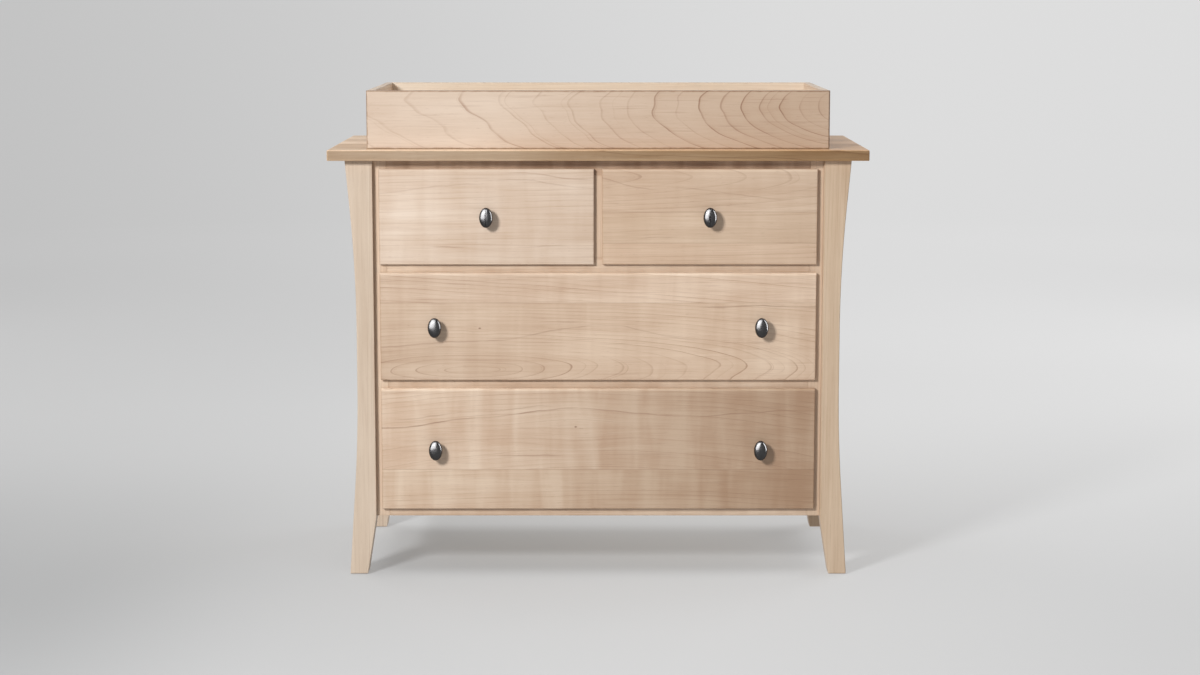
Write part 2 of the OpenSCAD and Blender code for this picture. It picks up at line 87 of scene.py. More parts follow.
class Graph:
    """Short ways to add nodes to a tree. An argument is a socket to link or a plain value."""

    def __init__(self, tree):
        self.tree = tree

    def add(self, kind, **settings):
        made = self.tree.nodes.new(kind)
        for key, value in settings.items():
            setattr(made, key, value)
        return made

    def put(self, socket, value):
        if isinstance(value, bpy.types.NodeSocket):
            self.tree.links.new(value, socket)
        elif value is not None:
            socket.default_value = (*value, 1) if socket.type == "RGBA" and len(value) == 3 else value

    def math(self, operation, a, b=None, c=None, clamp=False):
        made = self.add("ShaderNodeMath", operation=operation, use_clamp=clamp)
        for socket, value in zip(made.inputs, (a, b, c)):
            self.put(socket, value)
        return made.outputs[0]

    def vector(self, operation, a, b=None, c=None):
        made = self.add("ShaderNodeVectorMath", operation=operation)
        for socket, value in zip(made.inputs, (a, b, c)):
            self.put(socket, value)
        return made.outputs["Value" if operation in ("LENGTH", "DOT_PRODUCT") else "Vector"]

    def split(self, vector):
        made = self.add("ShaderNodeSeparateXYZ")
        self.put(made.inputs[0], vector)
        return tuple(made.outputs)

    def join(self, x, y, z):
        made = self.add("ShaderNodeCombineXYZ")
        for socket, value in zip(made.inputs, (x, y, z)):
            self.put(socket, value)
        return made.outputs[0]

    def noise(self, vector, stretch=(1, 1, 1), detail=2.0, roughness=0.5, distortion=0.0):
        """Noise whose cells per metre along each axis are given by stretch."""
        made = self.add("ShaderNodeTexNoise", noise_dimensions="3D")
        self.put(made.inputs["Vector"], self.vector("MULTIPLY", vector, stretch))
        for name, value in (("Scale", 1.0), ("Detail", detail), ("Roughness", roughness),
                            ("Distortion", distortion)):
            self.put(made.inputs[name], value)
        return made.outputs[0]

    def white(self, value):
        made = self.add("ShaderNodeTexWhiteNoise", noise_dimensions="1D")
        self.put(made.inputs["W"], value)
        return made.outputs["Value"]

    def smooth(self, value, low, high, to_low=0.0, to_high=1.0):
        made = self.add("ShaderNodeMapRange", interpolation_type="SMOOTHSTEP")
        for name, given in (("Value", value), ("From Min", low), ("From Max", high),
                            ("To Min", to_low), ("To Max", to_high)):
            self.put(made.inputs[name], given)
        return made.outputs[0]

    def mix(self, factor, a, b, blend="MIX"):
        made = self.add("ShaderNodeMix", data_type="RGBA", blend_type=blend)
        self.put(made.inputs["Factor"], factor)
        colour_inputs = [s for s in made.inputs if s.type == "RGBA"]
        self.put(colour_inputs[0], a)
        self.put(colour_inputs[1], b)
        return next(s for s in made.outputs if s.type == "RGBA")

    def tinted(self, share, colour, multiplier):
        """The colour, moved by share towards its product with multiplier."""
        return self.mix(share, colour, self.mix(1.0, colour, multiplier, "MULTIPLY"))

    def clamped(self, value):
        return self.math("ADD", value, 0.0, clamp=True)

    def total(self, first, *terms):
        """first plus each (weight, value)."""
        for weight, value in terms:
            first = self.math("MULTIPLY_ADD", value, weight, first)
        return first

    def centred(self, value):
        return self.math("SUBTRACT", value, 0.5)

    def bump(self, height, distance, strength=1.0):
        made = self.add("ShaderNodeBump")
        for name, value in (("Height", height), ("Distance", distance), ("Strength", strength)):
            self.put(made.inputs[name], value)
        return made.outputs[0]


def group(name, inputs, outputs):
    """An empty node group: inputs are (kind, name, value), outputs are (kind, name)."""
    tree = bpy.data.node_groups.new(name, "ShaderNodeTree")
    for kind, label, value in inputs:
        socket = tree.interface.new_socket(label, in_out="INPUT", socket_type="NodeSocket" + kind)
        if value is not None:
            socket.default_value = value
    for kind, label in outputs:
        tree.interface.new_socket(label, in_out="OUTPUT", socket_type="NodeSocket" + kind)
    graph = Graph(tree)
    return tree, graph, graph.add("NodeGroupInput").outputs, graph.add("NodeGroupOutput").inputs


# ---- Wood ----

WOOD_INPUTS = [
    ("Vector", "Place", None), ("Float", "Seed", 0.0),
    ("Float", "Pith across", 0.0), ("Float", "Pith depth", 0.05),
    ("Float", "Tilt", 0.02), ("Float", "Bend", 0.0),
    ("Float", "Spacing", 0.012), ("Float", "Warp", 0.006),
    ("Float", "Lines", 0.5), ("Float", "Curl", 0.2), ("Float", "Blotch", 0.6), ("Float", "Streak", 1.0),
    ("Color", "Pale", linear(222, 202, 180)), ("Color", "Tan", linear(205, 180, 152)),
    ("Color", "Brown", linear(150, 112, 82)),
]


def make_wood_group():
    """Solid wood. Place is in metres: X along the grain, Y across the face, Z into the board.

    The growth rings are shells round a pith line that tilts and bends against the board, so a face cut near
    the pith shows cathedrals, and the ends show the same rings as arcs."""
    tree, g, given, result = group("solid_wood", WOOD_INPUTS, [("Color", "Color"), ("Float", "Fibre")])
    seed = given["Seed"]
    seed_shift = g.vector("MULTIPLY", g.join(seed, seed, seed), (1.7, 3.1, 5.3))
    shifted = g.vector("ADD", given["Place"], seed_shift)
    along, across, depth = g.split(given["Place"])

    def warped(value, noise, share):
        return g.math("MULTIPLY_ADD", noise, g.math("MULTIPLY", given["Warp"], share), value)

    slow = g.centred(g.noise(shifted, (1.8, 9, 9), 2.0))
    other = g.centred(g.noise(g.vector("ADD", shifted, (9.1, 4.7, 2.3)), (2.6, 12, 12), 2.0))
    kink = g.centred(g.noise(shifted, (14, 55, 55), 3.0, 0.6))
    side = g.math("SUBTRACT", across, given["Pith across"])
    side = warped(side, slow, 2.6)
    side = warped(side, kink, 0.2)
    below = g.math("ADD", depth, given["Pith depth"])
    below = g.math("MULTIPLY_ADD", along, given["Tilt"], below)
    below = g.math("MULTIPLY_ADD", g.math("MULTIPLY", along, along), given["Bend"], below)
    below = warped(below, other, 2.0)
    radius = g.vector("LENGTH", g.join(side, below, 0.0))

    def ring_lines(spacing, number, rare, least):
        """Thin dark line at the end of each ring, and the slow rise in tone before it.

        number sets the random strengths. rare is the share of the rings that stay at the least strength."""
        phase = g.math("DIVIDE", radius, spacing)
        ring = g.math("FRACT", phase)
        strength = g.white(g.math("ADD", g.math("FLOOR", phase), g.math("ADD", seed, number)))
        strength = g.smooth(strength, rare, 0.95, least, 1.0)
        patches = g.noise(g.vector("ADD", shifted, (number, 1.3, 7.7)), (5, 26, 26), 2.0)
        fade = g.smooth(patches, 0.3, 0.62, 0.35, 1.0)
        strength = g.math("MULTIPLY", strength, fade)
        line = g.math("MULTIPLY", g.smooth(ring, 0.89, 0.965), g.smooth(ring, 0.975, 1.0, 1.0, 0.0))
        rise = g.math("POWER", ring, 3.0)
        return g.math("MULTIPLY", line, strength), g.math("MULTIPLY", rise, strength)

    line, rise = ring_lines(given["Spacing"], 3.0, 0.1, 0.32)
    fine_line, fine_rise = ring_lines(g.math("MULTIPLY", given["Spacing"], 0.41), 17.0, 0.6, 0.05)

    broad_streak = g.centred(g.noise(shifted, (3.2, 60, 60), 3.0, 0.6))
    streak = g.centred(g.noise(shifted, (7, 240, 240), 3.0, 0.75))
    dash = g.smooth(g.noise(g.vector("ADD", shifted, (3.3, 0.0, 8.1)), (8, 330, 330), 1.0), 0.62, 0.72)
    fibre = g.centred(g.noise(shifted, (26, 1100, 1100), 2.0, 0.6))
    blotch = g.centred(g.noise(shifted, (3.2, 8, 8), 2.0))
    curl = g.centred(g.noise(g.vector("ADD", shifted, (0.0, 5.5, 0.0)), (24, 3.5, 3.5), 2.0, 0.55, 0.4))
    fleck = g.smooth(g.noise(shifted, (70, 620, 620), 1.0), 0.66, 0.76)

    tone = g.total(
        0.45,
        (1.3, g.math("MULTIPLY", broad_streak, given["Streak"])),
        (0.85, g.math("MULTIPLY", streak, given["Streak"])),
        (0.45, fibre),
        (1.5, g.math("MULTIPLY", blotch, given["Blotch"])),
        (1.5, g.math("MULTIPLY", curl, given["Curl"])),
        (0.5, g.math("MULTIPLY", rise, given["Lines"])),
        (0.3, g.math("MULTIPLY", fine_rise, given["Lines"])),
    )
    colour = g.mix(g.clamped(tone), given["Pale"], given["Tan"])
    marks = g.total(0.0, (0.85, line), (0.34, fine_line))
    marks = g.math("MULTIPLY", marks, given["Lines"], clamp=True)
    marks = g.total(marks, (0.16, fleck), (0.24, g.math("MULTIPLY", dash, given["Lines"])))
    marks = g.clamped(marks)
    colour = g.mix(marks, colour, given["Brown"])

    g.put(result["Color"], colour)
    g.put(result["Fibre"], g.total(0.5, (0.5, fibre), (0.35, streak), (-0.3, marks)))
    return tree


wood_group = make_wood_group()
WOOD_COLOURS = ("pale", "tan", "brown")


def solid_wood(g, place, **settings):
    """A node of the wood group. settings are its inputs, with its colours as they look on a screen."""
    made = g.add("ShaderNodeGroup", node_tree=wood_group)
    g.put(made.inputs["Place"], place)
    for key, value in settings.items():
        label = key.replace("_", " ").capitalize()
        g.put(made.inputs[label], linear(*value) if key in WOOD_COLOURS else value)
    return made


AXES = {"X": 0, "Y": 1, "Z": 2}


def board_place(g, name, axes):
    """Coordinates from the middle of a CAD node in its grain's own axes, and half its size along each."""
    low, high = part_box(name)
    middle, half = (low + high) / 2, (high - low) / 2
    where = g.split(g.vector("SUBTRACT", g.add("ShaderNodeTexCoord").outputs["Object"], tuple(middle)))
    order = [AXES[a] for a in axes]
    return g.join(*[where[i] for i in order]), [half[i] for i in order]


def edge_mask(g, place, half, width):
    """1 along the board's edges, fading to 0 over about width.

    A point is near an edge if it is near two of the board's faces, so its second smallest gap counts."""
    gaps = [g.math("SUBTRACT", h, g.math("ABSOLUTE", p)) for h, p in zip(half, g.split(place))]
    lesser, greater = g.math("MINIMUM", gaps[0], gaps[1]), g.math("MAXIMUM", gaps[0], gaps[1])
    second = g.math("MAXIMUM", lesser, g.math("MINIMUM", greater, gaps[2]))
    ragged = g.centred(g.noise(place, (60, 90, 90), 3.0, 0.6))
    return g.smooth(g.math("MULTIPLY_ADD", ragged, width * 0.9, second), 0.0, width, 1.0, 0.0)


def new_material(name):
    material = bpy.data.materials.new(name)
    material.use_nodes = True
    g = Graph(material.node_tree)
    shader = next(n for n in material.node_tree.nodes if n.type == "BSDF_PRINCIPLED")
    return material, g, shader


def facing(g, axis):
    """1 where a surface faces either way along an axis, and 0 where it is well turned from it."""
    direction = [0, 0, 0]
    direction[AXES[axis]] = 1
    normal = g.add("ShaderNodeTexCoord").outputs["Normal"]
    return g.smooth(g.math("ABSOLUTE", g.vector("DOT_PRODUCT", normal, tuple(direction))), 0.55, 0.9)


def glue_up(g, across, seams, staves, tones):
    """The shift of the grain, the tint and the darkness of the glue lines of a board glued from staves."""
    shift, tint, glue = tuple(staves[0]), tuple(tones[0]), 0.0
    for i, seam in enumerate(seams):
        beyond = g.math("GREATER_THAN", across, seam)
        step = [b - a for a, b in zip(staves[i], staves[i + 1])]
        shift = g.vector("MULTIPLY_ADD", g.join(beyond, beyond, beyond), tuple(step), shift)
        step = [b - a for a, b in zip(tones[i], tones[i + 1])]
        tint = g.vector("MULTIPLY_ADD", g.join(beyond, beyond, beyond), tuple(step), tint)
        near = g.math("ABSOLUTE", g.math("SUBTRACT", across, seam))
        glue = g.math("MAXIMUM", glue, g.smooth(near, 0.2 * MM, 0.9 * MM, 1.0, 0.0))
    return shift, tint, glue


def part_round_knots(g, place, along, across, knots):
    """The place with the grain parted round each knot, and the darkness of the knots.

    Both reach further along the grain than across it."""
    dark = 0.0
    for at, up, radius, reach in knots:
        above = g.math("SUBTRACT", across, up)
        beside = g.math("MULTIPLY", g.math("SUBTRACT", along, at), 0.6)
        gap = g.vector("LENGTH", g.join(beside, above, 0.0))
        parting = g.math("MULTIPLY", g.smooth(gap, 0.0, reach, reach * 0.13, 0.0),
                         g.smooth(above, -reach * 0.4, reach * 0.4, 1.0, -1.0))
        place = g.vector("ADD", place, g.join(0.0, parting, 0.0))
        dark = g.math("MAXIMUM", dark, g.smooth(gap, radius * 0.3, radius, 0.75, 0.0))
    return place, dark


def draw_veins(g, place, along, across, seed, veins):
    """The darkness of single lines that wander along the grain and fade in and out.

    Each is sharp on its upper side and soft on its lower one, as a growth ring is."""
    apart = g.vector("ADD", place, (seed, 0.0, 0.0))
    drift = g.total(0.0, (0.016, g.centred(g.noise(apart, (7, 5, 5), 2.0))),
                    (0.004, g.centred(g.noise(apart, (30, 20, 20), 2.0))))
    faded = g.smooth(g.noise(apart, (11, 60, 60), 2.0), 0.3, 0.6, 0.35, 1.0)
    height = g.math("ADD", across, drift)
    taper = 20 * MM
    dark = 0.0
    for start, end, low, high, strength in veins:
        off = g.math("SUBTRACT", height, g.smooth(along, start, end, low, high))
        line = g.math("MULTIPLY", g.smooth(off, -3.0 * MM, -0.2 * MM),
                      g.smooth(off, 0.2 * MM, 0.9 * MM, 1.0, 0.0))
        within = g.math("MULTIPLY", g.smooth(along, start - taper, start + taper),
                        g.smooth(along, end - taper, end + taper, strength, 0.0))
        dark = g.math("MAXIMUM", dark, g.math("MULTIPLY", line, g.math("MULTIPLY", within, faded)))
    return dark


GLUE, KNOT, OPEN_PORES = linear(120, 88, 62), linear(112, 76, 52), linear(120, 86, 60)


def wood(name, axes="XZY", seams=(), staves=((0.0, 0.0, 0.0),), tones=((1, 1, 1),), knots=(), veins=(),
         edge=0.35, edge_width=0.004, edge_tone=(0.72, 0.62, 0.52), crest=1.0, shade=None,
         side_tone=None, side_shade=None, roughness=0.42, lines=0.5, **settings):
    """The material of one board. axes says which of X, Y, Z run along the grain, across it and into it.

    All places are in metres from the board's middle.
    - seams: where the glue lines are across the board. staves and tones: for each stave between them, a
      shift of the grain and what its colour is multiplied by.
    - knots: (along, across, radius, reach). The grain parts round each over its reach.
    - veins: single dark lines, (from along, to along, from across, to across, strength).
    - edge: how strongly the edges, over edge_width, are multiplied by edge_tone. Below 1 this is a painted
      shade on the edges, and above 1 a painted highlight. A further factor multiplies the upper edge once
      more, a painted highlight on it.
    - shade: what the colour is multiplied by at the far end along the grain.
    - the two side factors: what the colour of the narrow long sides, which are cut across the rings, is
      multiplied by at the near and the far end. This is a painted shade that makes them darker than the
      faces.
    - lines, settings: the inputs of the wood group. lines may be a pair, for the near and the far end."""
    material, g, shader = new_material(name)
    place, half = board_place(g, name, axes)
    along, across, _ = g.split(place)

    def end_to_end(near=0.0, far=1.0):
        return g.smooth(along, -half[0], half[0], near, far)

    shift, tint, glue = glue_up(g, across, seams, staves, tones)
    grain_place, knot_dark = part_round_knots(g, g.vector("ADD", place, shift), along, across, knots)

    if isinstance(lines, tuple):
        lines = end_to_end(*lines)
    inner = solid_wood(g, grain_place, lines=lines, **settings)
    colour = g.mix(1.0, inner.outputs["Color"], tint, "MULTIPLY")
    if shade:
        colour = g.tinted(end_to_end(), colour, shade)
    colour = g.mix(g.math("MULTIPLY", glue, 0.3), colour, GLUE)
    colour = g.mix(knot_dark, colour, KNOT)
    if veins:
        vein_dark = draw_veins(g, place, along, across, settings["seed"], veins)
        colour = g.mix(vein_dark, colour, linear(*settings["brown"]))

    # Painted shade: the narrow long sides are darkened against the faces, by one factor at the near end and
    # another at the far end.
    if side_tone:
        colour = g.tinted(facing(g, axes[1]), colour, g.mix(end_to_end(), side_tone, side_shade))
    facing_end = facing(g, axes[0])
    pores = g.smooth(g.noise(place, (900, 900, 900), 1.0), 0.5, 0.72)
    end_colour = g.mix(1.0, colour, (0.80, 0.74, 0.68), "MULTIPLY")
    end_colour = g.mix(g.math("MULTIPLY", pores, 0.35), end_colour, OPEN_PORES)
    colour = g.mix(g.math("MULTIPLY", facing_end, 0.8), colour, end_colour)
    # Painted shade and painted highlight on the eased edges: edge_tone below 1 darkens them, and above 1
    # lightens them. The same band also makes the edges a little less rough.
    painted_edge_band = edge_mask(g, place, half, edge_width)
    colour = g.tinted(g.math("MULTIPLY", painted_edge_band, edge), colour, edge_tone)
    # Painted highlight on the upper edge: lighter by the given factor, and a little cooler.
    if crest != 1.0:
        upper = g.smooth(across, half[1] - 7 * MM, half[1] - 3 * MM)
        colour = g.tinted(upper, colour, (0.96 * crest, crest, 1.03 * crest))

    g.put(shader.inputs["Base Color"], colour)
    fibre = inner.outputs["Fibre"]
    smudge = g.centred(g.noise(place, (9, 13, 13), 3.0, 0.6))
    g.put(shader.inputs["Roughness"], g.total(roughness, (0.16, g.centred(fibre)), (0.10, smudge),
                                              (0.10, facing_end), (-0.05, painted_edge_band)))
    g.put(shader.inputs["Normal"], g.bump(fibre, 0.22 * MM, 0.8))
    shader.inputs["Specular IOR Level"].default_value = 0.42
    shader.inputs["Coat Weight"].default_value = 0.08
    shader.inputs["Coat Roughness"].default_value = 0.28
    return material


def plywood(name, seed, axes="XYZ"):
    """Birch plywood: a rotary-cut face veneer, and plies of alternate grain on its edges."""
    material, g, shader = new_material(name)
    place, half = board_place(g, name, axes)
    shifted = g.vector("ADD", place, (0.0, 0.0, seed * 0.01))
    inner = solid_wood(g, shifted, seed=seed, pith_depth=0.02, tilt=0.012, spacing=0.022, warp=0.02,
                       lines=0.5, curl=0.35, pale=(226, 204, 172), tan=(205, 176, 138),
                       brown=(150, 112, 76))
    depth = g.split(place)[2]
    ply = g.math("PINGPONG", g.math("ADD", depth, half[2]), 1.2 * MM)
    core = g.mix(g.smooth(ply, 0.45 * MM, 0.75 * MM), linear(214, 186, 148), linear(150, 112, 78))
    grit = g.noise(place, (500, 500, 1500), 2.0)
    core = g.mix(g.math("MULTIPLY", grit, 0.5), core, linear(120, 86, 58))
    normal = g.split(g.add("ShaderNodeTexCoord").outputs["Normal"])[AXES[axes[2]]]
    on_edge = g.smooth(g.math("ABSOLUTE", normal), 0.3, 0.6, 1.0, 0.0)
    g.put(shader.inputs["Base Color"], g.mix(on_edge, inner.outputs["Color"], core))
    fibre = inner.outputs["Fibre"]
    g.put(shader.inputs["Roughness"], g.total(0.52, (0.15, g.centred(fibre)), (0.12, on_edge)))
    g.put(shader.inputs["Normal"], g.bump(fibre, 0.25 * MM, 0.8))
    shader.inputs["Specular IOR Level"].default_value = 0.35
    return material


# ---- Metal and nylon ----

def zinc_steel():
    """Zinc-plated steel strip: a faint spangle, fine drawing lines along it and rubbed marks."""
    material, g, shader = new_material("zinc_steel")
    place = g.add("ShaderNodeTexCoord").outputs["Object"]
    spangle = g.noise(place, (160, 160, 160), 2.0)
    drawn = g.noise(place, (1500, 12, 1500), 2.0)
    rubbed = g.smooth(g.noise(place, (30, 14, 40), 4.0, 0.65), 0.5, 0.7)
    tone = g.total(0.0, (0.6, spangle), (0.4, drawn))
    g.put(shader.inputs["Base Color"], g.mix(tone, linear(176, 178, 182), linear(214, 215, 216)))
    g.put(shader.inputs["Roughness"], g.total(0.26, (0.14, drawn), (0.10, rubbed)))
    g.put(shader.inputs["Normal"], g.bump(drawn, 0.03 * MM, 0.6))
    shader.inputs["Metallic"].default_value = 1.0
    return material


def dark_nickel():
    """Polished black nickel with faint hand marks, rubbed a little to brighter metal where fingers touch
    it.
    """
    material, g, shader = new_material("dark_nickel")
    place = g.add("ShaderNodeTexCoord").outputs["Object"]
    haze = g.noise(place, (220, 220, 160), 4.0, 0.6)
    scratch = g.smooth(g.noise(place, (1800, 1800, 140), 2.0), 0.62, 0.78)
    tone = g.total(0.0, (0.8, haze), (0.3, scratch))
    g.put(shader.inputs["Base Color"], g.mix(tone, linear(57, 57, 58), linear(85, 84, 84)))
    g.put(shader.inputs["Roughness"], g.total(0.21, (0.04, haze), (0.05, scratch)))
    g.put(shader.inputs["Normal"], g.bump(scratch, 0.01 * MM, 0.5))
    shader.inputs["Metallic"].default_value = 1.0
    return material


def nylon():
    """Dark moulded nylon, scuffed paler where it has slid."""
    material, g, shader = new_material("nylon")
    place = g.add("ShaderNodeTexCoord").outputs["Object"]
    grain = g.noise(place, (900, 900, 900), 3.0)
    scuff = g.smooth(g.noise(place, (120, 120, 120), 4.0, 0.7), 0.5, 0.66)
    colour = g.mix(g.math("MULTIPLY", scuff, 0.6), linear(52, 49, 46), linear(92, 88, 83))
    g.put(shader.inputs["Base Color"], colour)
    g.put(shader.inputs["Roughness"], g.total(0.44, (0.14, grain), (0.12, scuff)))
    g.put(shader.inputs["Normal"], g.bump(grain, 0.04 * MM))
    return material


# ---- Eased edges ----

SHARP_DEGREES, LONG_EDGE = 28, 3.5 * MM  # an edge is eased if it turns and runs at least this far
SAME_PLACE = 0.01 * MM  # points this close are one


def edge_weights():
    """Geometry nodes: joins the faces of a CAD mesh, and marks its long sharp edges for the bevel.

    Edges along X, Y and Z take their own shares of the bevel's width. Short edges, such as the rims of
    drilled holes, stay sharp."""
    tree = bpy.data.node_groups.new("edge_weights", "GeometryNodeTree")
    tree.is_modifier = True
    tree.interface.new_socket("Geometry", in_out="INPUT", socket_type="NodeSocketGeometry")
    tree.interface.new_socket("Shares", in_out="INPUT", socket_type="NodeSocketVector")
    tree.interface.new_socket("Geometry", in_out="OUTPUT", socket_type="NodeSocketGeometry")
    g = Graph(tree)
    given, result = g.add("NodeGroupInput").outputs, g.add("NodeGroupOutput").inputs
    merge = g.add("GeometryNodeMergeByDistance")
    g.put(merge.inputs["Geometry"], given["Geometry"])
    g.put(merge.inputs["Distance"], SAME_PLACE)
    angle = g.add("GeometryNodeInputMeshEdgeAngle").outputs["Unsigned Angle"]
    ends = g.add("GeometryNodeInputMeshEdgeVertices").outputs
    run = g.vector("SUBTRACT", ends["Position 1"], ends["Position 2"])
    length = g.vector("LENGTH", run)
    direction = g.vector("ABSOLUTE", g.vector("NORMALIZE", run))
    sharp = g.math("GREATER_THAN", angle, math.radians(SHARP_DEGREES))
    long = g.math("GREATER_THAN", length, LONG_EDGE)
    share = g.vector("DOT_PRODUCT", direction, given["Shares"])
    weight = g.math("MULTIPLY", g.math("MULTIPLY", sharp, long), share, clamp=True)
    store = g.add("GeometryNodeStoreNamedAttribute", data_type="FLOAT", domain="EDGE")
    g.put(store.inputs["Geometry"], merge.outputs["Geometry"])
    g.put(store.inputs["Name"], "bevel_weight_edge")
    g.put(store.inputs["Value"], weight)
    normals = g.add("GeometryNodeSetMeshNormal", mode="SHARPNESS")
    g.put(normals.inputs["Mesh"], store.outputs["Geometry"])
    g.put(normals.inputs["Remove Custom"], True)
    g.put(normals.inputs["Edge Sharpness"], g.math("MULTIPLY", sharp, g.math("SUBTRACT", 1.0, long)))
    g.put(normals.inputs["Face Sharpness"], False)
    g.put(result["Geometry"], normals.outputs["Mesh"])
    return tree


edge_weight_nodes = edge_weights()


def ease(name, width, shares=(1, 1, 1), segments=3):
    """Rounds the long edges of a CAD node by width, times the share of each direction."""
    piece = nodes[name]
    flat = piece.modifiers.new("join_flat", "WELD")
    flat.merge_threshold = SAME_PLACE
    clean = piece.modifiers.new("flat_faces", "DECIMATE")
    clean.decimate_type = "DISSOLVE"
    clean.angle_limit = math.radians(0.05)
    weights = piece.modifiers.new("edge_weights", "NODES")
    weights.node_group = edge_weight_nodes
    share_socket = edge_weight_nodes.interface.items_tree["Shares"].identifier
    weights[share_socket] = tuple(float(s) for s in shares)
    bevel = piece.modifiers.new("eased_edges", "BEVEL")
    bevel.width = width
    bevel.segments = segments
    bevel.limit_method = "WEIGHT"
    bevel.use_clamp_overlap = False
    bevel.harden_normals = True


def link_piece(name, mesh, material):
    """A smooth object made from a bmesh, which is freed."""
    data = bpy.data.meshes.new(name)
    mesh.to_mesh(data)
    mesh.free()
    data.materials.append(material)
    data.shade_smooth()
    piece = bpy.data.objects.new(name, data)
    bpy.context.scene.collection.objects.link(piece)
    return piece


def skin(mesh, loops):
    """Joins each closed loop of points to the next with four-sided faces."""
    for a, b in zip(loops, loops[1:]):
        for k in range(len(a)):
            n = (k + 1) % len(a)
            mesh.faces.new((a[k], a[n], b[n], b[k]))


def dress(name, material):
    for slot in nodes[name].material_slots:
        slot.material = material


def board(name, axes, **settings):
    dress(name, wood(name, axes, **settings))


# ---- Boards ----

MAPLE = dict(pale=(226, 208, 188), tan=(203, 178, 152), brown=(150, 112, 84))

# The top's edge factors above 1 paint a highlight on its eased edges, and its side factors paint shade on
# its front and back edges.
board("top", "XYZ", seams=(-0.199, -0.052, 0.045, 0.118, 0.19),
      staves=((0, 0, 0), (1.3, 0.2, 0.02), (2.9, 0.03, 0.01), (4.4, -0.1, 0.02), (6.1, 0.05, 0.0),
              (7.7, 0, 0.01)),
      tones=((1, 1, 1), (0.93, 0.91, 0.88), (1.12, 1.15, 1.2), (0.9, 0.88, 0.85), (1.06, 1.08, 1.1),
             (0.96, 0.95, 0.93)),
      seed=2.0, pith_across=-0.1, pith_depth=0.03, tilt=0.06, spacing=0.008, warp=0.008,
      lines=0.8, curl=0.2, blotch=1.0,
      pale=(237, 211, 184), tan=(197, 162, 124), brown=(132, 92, 60), shade=(0.93, 0.82, 0.70),
      edge=0.7, edge_width=0.005, edge_tone=(1.32, 1.30, 1.27),
      side_tone=(0.48, 0.455, 0.425), side_shade=(0.415, 0.385, 0.31))
ease("top", 3 * MM, shares=(0.8, 0.8, 1.0), segments=4)

# The tray front's dark edge factor paints shade round its eased edges, as a dark outline.
board("tray_front", "XZY",
      seed=5.0, pith_across=0.028, pith_depth=0.175, tilt=-0.22, bend=-0.14, spacing=0.012, warp=0.010,
      lines=(0.52, 0.95), curl=0.12, blotch=0.9, streak=0.6,
      pale=(209, 190, 172), tan=(190, 166, 145), brown=(136, 96, 72), shade=(0.90, 0.835, 0.77),
      edge=0.95, edge_tone=(0.42, 0.31, 0.22))
board("tray_back", "XZY", seed=8.0, pith_across=0.2, pith_depth=0.04, tilt=0.01, spacing=0.008,
      lines=0.5, curl=0.1, pale=(227, 212, 193), tan=(210, 191, 168), brown=(164, 128, 98))
board("tray_left", "YZX", seed=11.0, pith_across=0.06, pith_depth=0.02, tilt=0.05, lines=0.6, **MAPLE)
board("tray_right", "YZX", seed=14.0, pith_across=-0.05, pith_depth=0.03, tilt=0.06, lines=0.7, **MAPLE)
ease("tray_front", 4 * MM, shares=(0.35, 0.35, 1.0), segments=4)
for name in ("tray_back", "tray_left", "tray_right"):
    ease(name, 1.4 * MM)

# Each drawer front gets a painted highlight on its upper edge, from the factor that ends its line of
# settings.
board("drawer_top_left_front", "XZY",
      veins=((0.05, 0.20, 0.087, 0.074, 0.35), (0.03, 0.24, 0.074, 0.056, 0.25),
             (-0.10, -0.05, -0.058, -0.058, 0.5), (-0.24, -0.02, 0.047, 0.063, 0.25),
             (0.07, 0.15, -0.060, -0.055, 0.4)),
      seed=21.0, pith_across=0.16, pith_depth=0.05, tilt=0.05, spacing=0.011, warp=0.010,
      lines=0.45, curl=0.7, blotch=1.1, streak=0.8, crest=1.15,
      pale=(218, 199, 181), tan=(196, 170, 147), brown=(144, 104, 80), shade=(0.97, 0.96, 0.95))
board("drawer_top_right_front", "XZY", seams=(-0.052, 0.010),
      staves=((0, 0, 0), (0.2, -0.15, 0.03), (0.05, 0.03, 0.01)),
      tones=((1.0, 0.97, 0.955), (0.97, 0.955, 0.94), (0.99, 0.98, 0.98)),
      veins=((-0.24, -0.11, 0.078, 0.055, 0.3), (-0.07, 0.16, 0.058, 0.034, 0.25),
             (-0.135, -0.07, -0.041, -0.038, 0.35)),
      seed=27.0, pith_across=0.11, pith_depth=0.035, tilt=0.09, spacing=0.009, warp=0.008,
      lines=0.5, curl=0.4, blotch=0.8, streak=0.9, crest=1.2,
      pale=(211, 187, 163), tan=(189, 160, 134), brown=(136, 98, 74))
board("drawer_middle_front", "XZY", seams=(0.048,), staves=((0, 0, 0), (1.5, 0.3, 0.05)),
      tones=((0.98, 0.97, 0.95), (1.02, 1.02, 1.02)), knots=((-0.236, -0.003, 2.2 * MM, 0.025),),
      veins=((-0.45, -0.23, -0.040, -0.029, 0.35), (-0.23, -0.01, -0.029, 0.004, 0.35),
             (-0.01, 0.20, 0.004, -0.024, 0.3), (0.21, 0.45, 0.044, 0.041, 0.55)),
      seed=31.0, pith_across=-0.088, pith_depth=0.042, tilt=0.13, spacing=0.0072, warp=0.009,
      lines=0.75, curl=0.75, blotch=0.8, streak=0.85, crest=1.3,
      pale=(204, 180, 158), tan=(183, 154, 130), brown=(130, 91, 68), shade=(1.22, 1.25, 1.27))
